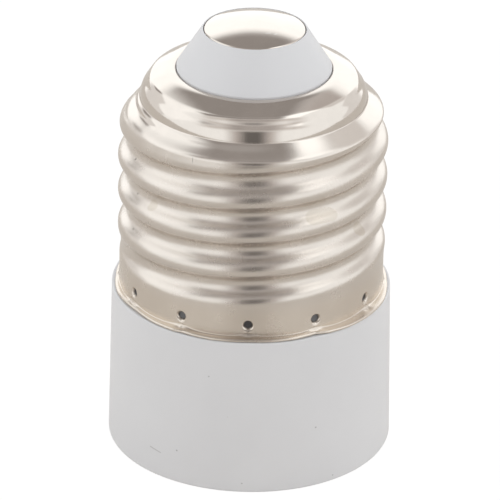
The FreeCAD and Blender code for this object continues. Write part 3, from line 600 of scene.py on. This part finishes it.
def lip_rows(size, angle, crease_z, pleat):
    """Radii and heights of the lip: its underside with the round edge, and its upper side, a cubic curve
    that leaves the edge and is dented by the pleat before it comes up to the crease."""
    lip, foot, band, sheet = in_mm(size, "lip_radius", "lip_foot", "band_radius", "sheet")
    soft = 0.15
    from_front = (np.degrees(angle) + 90 + 180) % 360 - 180
    wave = np.interp(from_front, *zip(*LIP_WAVE))
    turn = np.linspace(-np.pi / 2, np.pi / 2, 9)
    under_r = np.concatenate([[band - sheet, band, lip - 2 * soft], lip - soft + soft * np.cos(turn)])
    under_z = np.concatenate([[foot] * 3, foot + soft + soft * np.sin(turn)])
    under_r = under_r + wave * (under_r > band + 0.1)

    along = np.linspace(0, 1, 11)[1:]
    shares = ((1 - along) ** 3, 3 * (1 - along) ** 2 * along, 3 * (1 - along) * along**2, along**3)
    curve = (
        (lip - soft + wave, foot + sheet),
        (band + 0.22, foot + sheet + 0.06 - 0.6 * pleat),
        (band + 0.03, crease_z - 0.14 - pleat),
        (band, crease_z),
    )
    over_r, over_z = (sum(share * value for share, value in zip(shares, side)) for side in zip(*curve))
    return (under_r, under_z), (over_r, over_z)


def band_rows(size, from_dimple, crease_z):
    """Radii and heights of the plain band: up from the crease and across the rounded pits, with the sheet
    pinched out a little below each."""
    band, level, reach, deep = in_mm(
        size, "band_radius", "dimple_height", "dimple_radius", "dimple_depth"
    )
    margin = 0.04
    pits_foot, pits_top = level - reach - margin, level + reach + margin
    join_z = crease_z + (pits_foot - crease_z) * np.linspace(0, 1, 6)[1:-1]
    plain = np.concatenate([np.linspace(pits_foot, pits_top, 19), [level + 0.75, level + 1.0]])
    height = np.concatenate([join_z, np.broadcast_to(plain, (len(join_z), len(plain)))], axis=1)
    apart = np.hypot(from_dimple, height - level)
    pit = deep * ease((reach - apart) / (0.8 * reach))
    pinch, pinch_drop, pinch_height, pinch_width = 0.07, 0.72, 0.2, 0.3
    from_pinch = ((height - level + pinch_drop) / pinch_height) ** 2
    return band - pit + pinch * np.exp(-from_pinch - (from_dimple / pinch_width) ** 2), height


def thread_rows(size, angle, height, inset):
    """Radii and heights of the thread, a helical groove in the drawn tube, further in by the inset."""
    start, crease, pitch = in_mm(size, "thread_foot", "crease_height", "pitch")
    crest, root, drop = in_mm(size, "crest_radius", "root_radius", "first_crest")
    fades = (start + 1.3, start + 2.2, crease - 2.0, crease + 0.6)
    zone = (start, crease)
    cut = rolled_depth(angle, height, pitch, crest - root, crease - drop, fades, zone)
    return tube_radius(size, height) - inset - cut, height


def tube_radius(size, height):
    """Radius of the drawn tube before rolling: the band, the crests' slightly larger tube that leans in to
    the partial first crest, and a cone from there up to the crease, with a small round between."""
    start, crease, band = in_mm(size, "thread_foot", "crease_height", "band_radius")
    crest, neck = in_mm(size, "crest_radius", "crease_radius")
    first_crest, lead, drop, soft, slope = 12.75, 2.8, 1.2, 0.3, 1.42
    tube = band + (crest - band) * ease((height - start) / lead)
    tube = tube - (crest - first_crest) * ease((height - (crease - drop - lead)) / lead)
    cone = neck + (crease - height) * slope
    near = np.maximum(soft - np.abs(tube - cone), 0) / soft
    return np.minimum(tube, cone) - near**2 * soft / 4


def shoulder_rows(size):
    """Radii and heights of the shoulder from the crease in: the stepped roof, the edge that curls down at
    the opening, and the roof's inner side."""
    opening, opening_z, sheet = in_mm(size, "opening_radius", "opening_height", "sheet")
    neck, crease = in_mm(size, "crease_radius", "crease_height")
    soft, first_tilt = 0.2, math.radians(SHOULDER_TILTS[0][1])
    outside = shoulder_line((opening + soft, opening_z), (neck, crease + 0.04))[::-1]
    curl = np.linspace(first_tilt, np.radians(182), 7)[1:]
    curl_r = outside[-1, 0] + soft * (np.cos(curl) - math.cos(first_tilt))
    curl_z = outside[-1, 1] + soft * (np.sin(curl) - math.sin(first_tilt))
    inside = outside[::-5] - sheet
    inside = inside[(inside[:, 0] > opening) & (inside[:, 1] > crease)]
    return np.vstack([outside, np.stack([curl_r, curl_z], axis=-1), inside]).T


def shoulder_line(edge, crease):
    """Outside of the shoulder as radius and height. The line follows the smoothed tilts of its normal, and
    the sum of its short steps is stretched to fit both ends."""
    stations, tilts = zip(*SHOULDER_TILTS)
    short_steps, blur_reach, kept = 240, 9, 5
    along = np.linspace(0, stations[-1], short_steps + 1)
    tilt = np.radians(np.interp(along, stations, tilts))
    blur = np.hanning(2 * blur_reach + 1)
    tilt = np.convolve(np.pad(tilt, blur_reach, mode="edge"), blur / blur.sum(), mode="valid")
    out = np.concatenate([[0], np.cumsum(np.sin(tilt[1:]))])
    down = np.concatenate([[0], np.cumsum(np.cos(tilt[1:]))])
    radius = edge[0] + (crease[0] - edge[0]) * out / out[-1]
    height = edge[1] + (crease[1] - edge[1]) * down / down[-1]
    return np.stack([radius, height], axis=-1)[::kept]


def shell_grid(size, first_dimple):
    """The whole sheet as one closed section turned round Z and modulated: under the lip and over it, up the
    band and the thread, over the shoulder and back down inside. The band's crease lifts to a cusp below each
    dimple, where the lip is pleated."""
    foot, band, sheet = in_mm(size, "lip_foot", "band_radius", "sheet")
    start, crease = in_mm(size, "thread_foot", "crease_height")
    columns = dimple_columns(size.dimples, spread=0.062, close=20, apart=14)
    angles = columns + first_dimple
    angle = angles[:, None]
    cell = 2 * np.pi / size.dimples
    from_dimple = ((columns + cell / 2) % cell - cell / 2)[:, None] * band
    near = 1 - np.abs(from_dimple) / (band * cell / 2)
    crease_lift, cusp_rise, pleat_rise, pleat_width = 0.02, 0.44, 0.2, 0.45
    crease_z = foot + sheet + crease_lift + cusp_rise * near**3.0
    pleat = pleat_rise * np.exp(-((from_dimple / pleat_width) ** 2))
    finer = crease - 1.8
    outer_z = np.concatenate([np.linspace(start, finer, 86)[:-1], np.linspace(finer, crease, 24)])
    parts = (
        *lip_rows(size, angle, crease_z, pleat),
        band_rows(size, from_dimple, crease_z),
        thread_rows(size, angle, outer_z, 0.0),
        shoulder_rows(size),
        thread_rows(size, angle, np.linspace(crease, start, 22), sheet),
    )
    radius, height = (
        np.concatenate([np.broadcast_to(rows, (len(angles), rows.shape[-1])) for rows in side], axis=1)
        for side in zip(*parts)
    )
    return turned(radius, height, angles)


class ADAPTER_OT_screw_shell(Operator):
    """Adds the rolled nickel shell with its thread, lip and punched dimples."""

    bl_idname = "adapter.screw_shell"
    bl_label = "Screw shell"

    def execute(self, context):
        front_dimple = math.radians(-91)
        piece = loop_object("rolled_shell", shell_grid(context.scene.adapter_shell, front_dimple))
        material = shared_material(
            "shell_nickel", nickel_material, "nickel", (0.07, 0.11), SHELL_MARKS, True
        )
        finish_piece(piece, material, "adapter", "nickel_sheet", "screw_shell")
        return {"FINISHED"}


# White moulding and contact

HEAD_DEPTH = 0.8  # how deep the contact's head sits in the cone


class ADAPTER_OT_housing(Operator):
    """Adds the white moulding: skirt, neck, cone and the socket's stepped hollow."""

    bl_idname = "adapter.housing"
    bl_label = "White moulding"

    def execute(self, context):
        size = context.scene.adapter_housing
        rim, ledge, step = in_mm(size, "rim_radius", "ledge_radius", "ledge_height")
        mouth, deep, bore, bore_top = in_mm(
            size, "mouth_radius", "mouth_depth", "bore_radius", "bore_top"
        )
        chamber, ceiling, recess = in_mm(size, "chamber_radius", "chamber_top", "recess_radius")
        base, base_z, tip, tip_z = in_mm(
            size, "cone_base_radius", "cone_base", "cone_top_radius", "cone_top"
        )
        band_neck, band_top = 12.57, step + 2.7
        thread_neck, thread_top = 11.5, 32.4
        roof_neck, roof_foot, roof_top, cone_foot = 10.2, 34.17, 36.9, 38.11
        seat, stem_bore = tip_z - HEAD_DEPTH, 1.55
        lip_recess, lip_top = 8.45, deep + 0.25
        section = rounded([
            (mouth, 0.0, 0.35), (rim, 0.0, 0.2), (ledge, step, 0.15), (band_neck, step, 0.05),
            (band_neck, band_top, 0.1), (thread_neck, band_top, 0.1), (thread_neck, thread_top, 0.3),
            (roof_neck, roof_foot, 0.3), (roof_neck, roof_top, 0.3), (base, cone_foot, 0.2),
            (base, base_z, 0.12), (tip, tip_z, 0.06), (recess, tip_z, 0.03), (recess, seat, 0.05),
            (stem_bore, seat, 0.05), (stem_bore, ceiling, 0.05), (chamber, ceiling, 0.3),
            (chamber, bore_top, 0.1), (bore, bore_top, 0.1), (bore, lip_top, 0.05),
            (lip_recess, lip_top, 0.05), (lip_recess, deep, 0.08), (mouth, deep, 0.2),
        ])
        piece = loop_object("white_moulding", turned(*section.T, around(360)))
        material = shared_material("white_moulding", plastic_material, "plastic")
        finish_piece(piece, material, "adapter", "white_plastic", "housing")
        return {"FINISHED"}


class ADAPTER_OT_tip_contact(Operator):
    """Adds the domed contact, a rivet that is peened over inside the socket."""

    bl_idname = "adapter.tip_contact"
    bl_label = "Domed contact"

    def execute(self, context):
        head, rise, stem, peen = in_mm(
            context.scene.adapter_contact, "radius", "dome_rise", "stem_radius", "peen_radius"
        )
        rim = context.scene.adapter_housing.cone_top / MM
        seat, peen_top, peen_foot = rim - HEAD_DEPTH, 29.59, 28.99
        drill, drill_end = 0.8, 31.39
        dome = (head**2 + rise**2) / (2 * rise)
        inner = np.linspace(0.955 * head, 0, 26)
        dome_z = rim + rise - dome + np.sqrt(dome**2 - inner**2)
        lower = rounded([
            (0.0, drill_end, 0.1), (drill, drill_end, 0.1), (drill, peen_foot, 0.12),
            (peen, peen_foot, 0.22), (peen, peen_top, 0.05), (stem, peen_top, 0.03), (stem, seat, 0.03),
            (head, seat, 0.05), (head, rim, 0.24), (inner[0], dome_z[0], 0.1),
        ], closed=False)
        section = np.vstack([lower, np.stack([inner[1:], dome_z[1:]], axis=-1)])
        piece = capped_object("domed_contact", section, around(240))
        finish_piece(piece, contact_nickel(), "adapter", "nickel_contact", "tip_contact")
        return {"FINISHED"}


# Small sleeve and leaf


def strip_object(name, path, width, thickness, plane):
    """A flat strip bent along a path. The path is the middle line (along, up) in the XZ or YZ plane; the
    section is a rectangle with small round corners, set square to the path at each point."""
    path = np.asarray(path, float)
    ahead = np.gradient(path, axis=0)
    ahead = ahead / np.linalg.norm(ahead, axis=1)[:, None]
    across = np.stack([-ahead[:, 1], ahead[:, 0]], axis=-1)
    half, soft = thickness / 2, min(0.3 * thickness, 0.08)
    section = rounded([
        (-width / 2, -half, soft), (width / 2, -half, soft), (width / 2, half, soft),
        (-width / 2, half, soft),
    ], steps=4, hold=0.05)
    middle = path[:, None, :] + across[:, None, :] * section[None, :, 1:2]
    side = np.broadcast_to(section[:, 0], middle.shape[:2])
    if plane == "XZ":
        points = np.stack([middle[..., 0], side, middle[..., 1]], axis=-1)
    else:
        points = np.stack([-side, middle[..., 0], middle[..., 1]], axis=-1)
    count, ring = points.shape[:2]
    here = np.arange(count * ring).reshape(count, ring)
    beside = np.roll(here, -1, axis=1)
    quads = np.stack([here[:-1], here[1:], beside[1:], beside[:-1]], axis=-1).reshape(-1, 4)
    ends = np.vstack([points[0].mean(axis=0), points[-1].mean(axis=0)])
    first, last = count * ring, count * ring + 1
    low = np.stack([np.full(ring, first), here[0], beside[0]], axis=-1)
    high = np.stack([np.full(ring, last), beside[-1], here[-1]], axis=-1)
    flat = np.vstack([points.reshape(-1, 3), ends])
    return mesh_object(name, flat, quads, np.vstack([low, high]))


def bent_path(corners):
    """The middle line of a bent strip: straight runs with arcs at the corners, as points a short and even
    way apart."""
    bent = rounded(corners, closed=False, steps=9, hold=0.3)
    runs = np.linalg.norm(np.diff(bent, axis=0), axis=1)
    travelled = np.concatenate([[0], np.cumsum(runs)])
    spacing = 0.08
    stations = np.linspace(0, travelled[-1], int(travelled[-1] / spacing))
    return np.stack([np.interp(stations, travelled, bent[:, k]) for k in (0, 1)], axis=-1)


class ADAPTER_OT_small_sleeve(Operator):
    """Adds the small threaded sleeve and its lanced tab."""

    bl_idname = "adapter.small_sleeve"
    bl_label = "Small sleeve"

    def execute(self, context):
        size, housing = context.scene.adapter_socket, context.scene.adapter_housing
        crest, root, pitch, sheet = in_mm(size, "crest_radius", "root_radius", "pitch", "sheet")
        lip, port, width = in_mm(size, "lip_radius", "port_radius", "tab_width")
        deep, top = in_mm(housing, "mouth_depth", "bore_top")
        start, end = deep + 0.8, top - 1.8
        fades = (start + 1.0, start + 2.2, end - 2.2, end - 1.0)
        last_crest = end - 2.9
        angles, rows = around(300), np.linspace(start, end, 100)

        def fixed(corners):
            section = rounded(corners)[1:-1]
            return np.broadcast_to(section, (len(angles), *section.shape))

        def wall(radius, heights):
            cut = rolled_depth(
                angles[:, None], heights, pitch, crest - root, last_crest, fades, (start, end)
            )
            return np.stack(np.broadcast_arrays(radius - cut, heights), axis=-1)

        flare = [
            (crest - sheet, deep, 0.25), (lip, deep, 0.08), (lip, deep + sheet, 0.08),
            (crest, deep + sheet, 0.05),
        ]
        head = [
            (crest, top, 0.3), (port, top, 0.08), (port, top - sheet, 0.08),
            (crest - sheet, top - sheet, 0.1),
        ]
        section = np.concatenate(
            [fixed(flare), wall(crest, rows), fixed(head), wall(crest - sheet, rows[::-1])], axis=1
        )
        piece = loop_object("threaded_sleeve", turned(section[..., 0], section[..., 1], angles))
        finish_piece(piece, contact_nickel(), "adapter", "nickel_sheet", "inner_sleeve")
        near, far, high, foot, bend = 5.525, 11.486, 25.775, 22.5, 0.375
        path = [(near, top - 0.2, 0.1), (near, high, bend), (far, high, bend), (far, foot, 0.1)]
        tab = strip_object("sleeve_tab", bent_path(path), width, sheet, "YZ")
        finish_piece(tab, contact_nickel(), "adapter", "nickel_sheet")
        return {"FINISHED"}


class ADAPTER_OT_spring_leaf(Operator):
    """Adds the bent bronze leaf that meets the small lamp's centre contact."""

    bl_idname = "adapter.spring_leaf"
    bl_label = "Spring leaf"

    def execute(self, context):
        width, thickness = in_mm(context.scene.adapter_socket, "leaf_width", "leaf_thickness")
        foot_z, fold, bend = 29.795, -4.425, 0.475
        path = [
            (3.2, foot_z, 0.1), (fold, foot_z, bend), (fold, 27.66, bend), (0.0, 24.54, 0.9),
            (2.4, 25.93, 0.1),
        ]
        leaf = strip_object("bronze_leaf", bent_path(path), width, thickness, "XZ")
        material = shared_material("spring_bronze", bronze_material, "bronze")
        leaf.data.materials.append(material)
        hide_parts("centre_leaf")
        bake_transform(leaf)
        return {"FINISHED"}


# Stage


# Darker and brighter parts of the room: from and to over the top (front horizon 0, straight up 90, back
# 180), from and to across (left is negative), width of the soft edge, all in degrees, then the brightness.
ROOM_PARTS = (
    (-80, 37, -22, 22, 8, 0.62),
    (-80, 37, -11, 11, 7, 0.18),
    (40, 56, -46, 46, 10, 0.78),
    (40, 56, -21, 21, 9, 0.47),
    (66, 140, -82, -38, 8, 1.32),
    (58, 80, -42, 24, 6, 0.38),
    (78, 139, -26, 20, 7, 0.38),
    (106, 138, 18, 34, 5, 0.58),
    (104, 140, 34, 56, 5, 0.84),
    (57, 72, 25, 40, 3, 1.55),
    (72, 101, 21, 40, 3, 1.55),
    (141, 240, -80, 80, 3, 0.93),
    (141, 240, -38, 40, 5, 1.45),
    (139, 158, -47, -36, 3, 0.38),
)
TENT_LIGHT = 1.18
DEGREE = 180 / math.pi


def cloth(light):
    """White for the tent's cloth, warmer the dimmer a part is."""
    unwarmed, warming = 1.05, 0.35
    warmth = min(max((unwarmed - light) / warming, 0), 1)
    return (light, light * (1.02 - 0.08 * warmth), light * (1.03 - 0.12 * warmth), 1.0)


def world_room(level):
    """A white tent with a dark opening in front, an open top, a lamp to the right of it and a bright back. A
    ray's direction gives its angle over the top from the front horizon and its angle across. Each part of
    the room is a rectangle in these two angles with soft edges. The camera itself sees plain white."""
    world = bpy.data.worlds.new("studio_room")
    bpy.context.scene.world = world
    world.use_nodes = True
    nodes = Nodes(world.node_tree)
    ray = nodes.add("ShaderNodeTexCoord").outputs["Generated"]
    side, back, up = nodes.add("ShaderNodeSeparateXYZ", Vector=ray).outputs
    over = nodes.maths("ARCTAN2", up, nodes.times(back, -1.0))
    # From -90 to 270, so that what lies behind and below counts on from the back.
    over = nodes.maths("WRAP", nodes.times(over, DEGREE), 270.0, -90.0)
    across = nodes.times(nodes.maths("ARCSINE", side), DEGREE)

    def between(value, low, high, soft):
        rising = nodes.ramp(value, low - soft, low + soft)
        falling = nodes.ramp(value, high - soft, high + soft, 1.0, 0.0)
        return nodes.times(rising, falling)

    room, most_soft = cloth(TENT_LIGHT), 8
    for low, high, left, right, soft, light in ROOM_PARTS:
        heights = between(over, low, high, min(soft, most_soft))
        inside = nodes.times(heights, between(across, left, right, soft))
        room = nodes.blend(inside, room, cloth(light))
    sky = nodes.fill(nodes.tree.nodes["Background"], Color=room, Strength=level)
    backdrop = nodes.add("ShaderNodeBackground", Color=rgba(WHITE), Strength=1.0)
    seen = nodes.add("ShaderNodeLightPath").outputs["Is Camera Ray"]
    mixed_to(nodes, "World Output", seen, sky, backdrop)


def mixed_to(nodes, output, factor, first, second):
    """Mixes two shaders into the tree's output."""
    mix = nodes.add("ShaderNodeMixShader")
    for socket, value in zip(mix.inputs, (factor, first.outputs[0], second.outputs[0])):
        nodes.feed(socket, value)
    nodes.fill(nodes.tree.nodes[output], Surface=mix.outputs[0])


def floor_material(name, colour):
    """Matt white table. The camera sees it lifted to the picture's white, and it keeps a trace of shadow."""
    material, nodes, shader, position = new_material(name)
    weave = nodes.noise(position, scale=0.05, detail=2.0)
    tone = nodes.blend(weave, rgba(colour, 0.99), rgba(colour, 1.01))
    nodes.fill(shader, Base_Color=tone, Roughness=0.8, Specular_IOR_Level=0.1)
    glow = nodes.add("ShaderNodeEmission", Color=rgba(WHITE), Strength=1.08)
    seen = nodes.add("ShaderNodeLightPath").outputs["Is Camera Ray"]
    lift = 0.88
    mixed_to(nodes, "Material Output", nodes.times(seen, lift), shader, glow)
    return material


def place_camera(stage):
    """A long lens that looks down at the axis. The picture's middle lies a little below and left of the
    point the distance was measured to, so the view direction leans by those few pixels."""
    picture_width, off_left, off_down, sensor = 500, 1.835, 23.644, 36.0
    up_angle, roll = stage.elevation, stage.roll
    ahead = Vector((0, math.cos(up_angle), -math.sin(up_angle)))
    right = Vector((1, 0, 0))
    up = right.cross(ahead)
    place = Vector((0, 0, stage.target_height)) - stage.distance * ahead
    rolled_right = right * math.cos(roll) + up * math.sin(roll)
    rolled_up = up * math.cos(roll) - right * math.sin(roll)
    middle = ahead * stage.focal_pixels - rolled_right * off_left - rolled_up * off_down
    middle = middle.normalized()
    side = (rolled_right - middle * rolled_right.dot(middle)).normalized()
    top = side.cross(middle)
    lens = bpy.data.cameras.new("picture_camera")
    lens.sensor_fit = "HORIZONTAL"
    lens.sensor_width = sensor
    lens.lens = sensor * stage.focal_pixels / picture_width
    lens.clip_start = 0.01
    camera = bpy.data.objects.new("picture_camera", lens)
    turn = Matrix((side, top, -middle)).transposed().to_4x4()
    camera.matrix_world = Matrix.Translation(place) @ turn
    bpy.context.scene.collection.objects.link(camera)
    bpy.context.scene.camera = camera


class ADAPTER_OT_stage(Operator):
    """Adds the table, the room's light and the picture's camera."""

    bl_idname = "adapter.stage"
    bl_label = "Stage"

    def execute(self, context):
        stage = context.scene.adapter_stage
        side, front = 3000.0, -100.0
        corners = [[-side, front, 0], [side, front, 0], [side, side, 0], [-side, side, 0]]
        table = mesh_object(
            "table", np.array(corners, float), np.array([[0, 1, 2, 3]]), np.zeros((0, 3), int)
        )
        table.data.materials.append(floor_material("white_table", stage.floor_shade))
        world_room(stage.world_level)
        place_camera(stage)
        context.scene.view_settings.view_transform = "Standard"
        return {"FINISHED"}


class ADAPTER_PT_pieces(Panel):
    """Lists the pieces of the adapter."""

    bl_idname = "ADAPTER_PT_pieces"
    bl_label = "Lamp socket adapter"
    bl_space_type = "VIEW_3D"
    bl_region_type = "UI"
    bl_category = "Adapter"

    def draw(self, context):
        for operator in OPERATORS:
            self.layout.operator(operator.bl_idname)
        for name in GROUPS:
            box = self.layout.box()
            box.label(text=GROUPS[name].__doc__)
            settings = getattr(context.scene, name)
            for prop in GROUPS[name].__annotations__:
                box.prop(settings, prop)


OPERATORS = (
    ADAPTER_OT_housing,
    ADAPTER_OT_screw_shell,
    ADAPTER_OT_tip_contact,
    ADAPTER_OT_small_sleeve,
    ADAPTER_OT_spring_leaf,
    ADAPTER_OT_stage,
)
GROUPS = {
    "adapter_shell": ShellSizes,
    "adapter_housing": HousingSizes,
    "adapter_contact": ContactSizes,
    "adapter_socket": SocketSizes,
    "adapter_finishes": Finishes,
    "adapter_stage": Stage,
}


def register():
    for kind in (*GROUPS.values(), *OPERATORS, ADAPTER_PT_pieces):
        bpy.utils.register_class(kind)
    for name, kind in GROUPS.items():
        setattr(bpy.types.Scene, name, PointerProperty(type=kind))


def unregister():
    for name in GROUPS:
        delattr(bpy.types.Scene, name)
    for kind in reversed((*GROUPS.values(), *OPERATORS, ADAPTER_PT_pieces)):
        bpy.utils.unregister_class(kind)


def main():
    register()
    bpy.ops.adapter.housing()
    bpy.ops.adapter.screw_shell()
    bpy.ops.adapter.tip_contact()
    bpy.ops.adapter.small_sleeve()
    bpy.ops.adapter.spring_leaf()
    bpy.ops.adapter.stage()


if __name__ == "__main__":
    main()
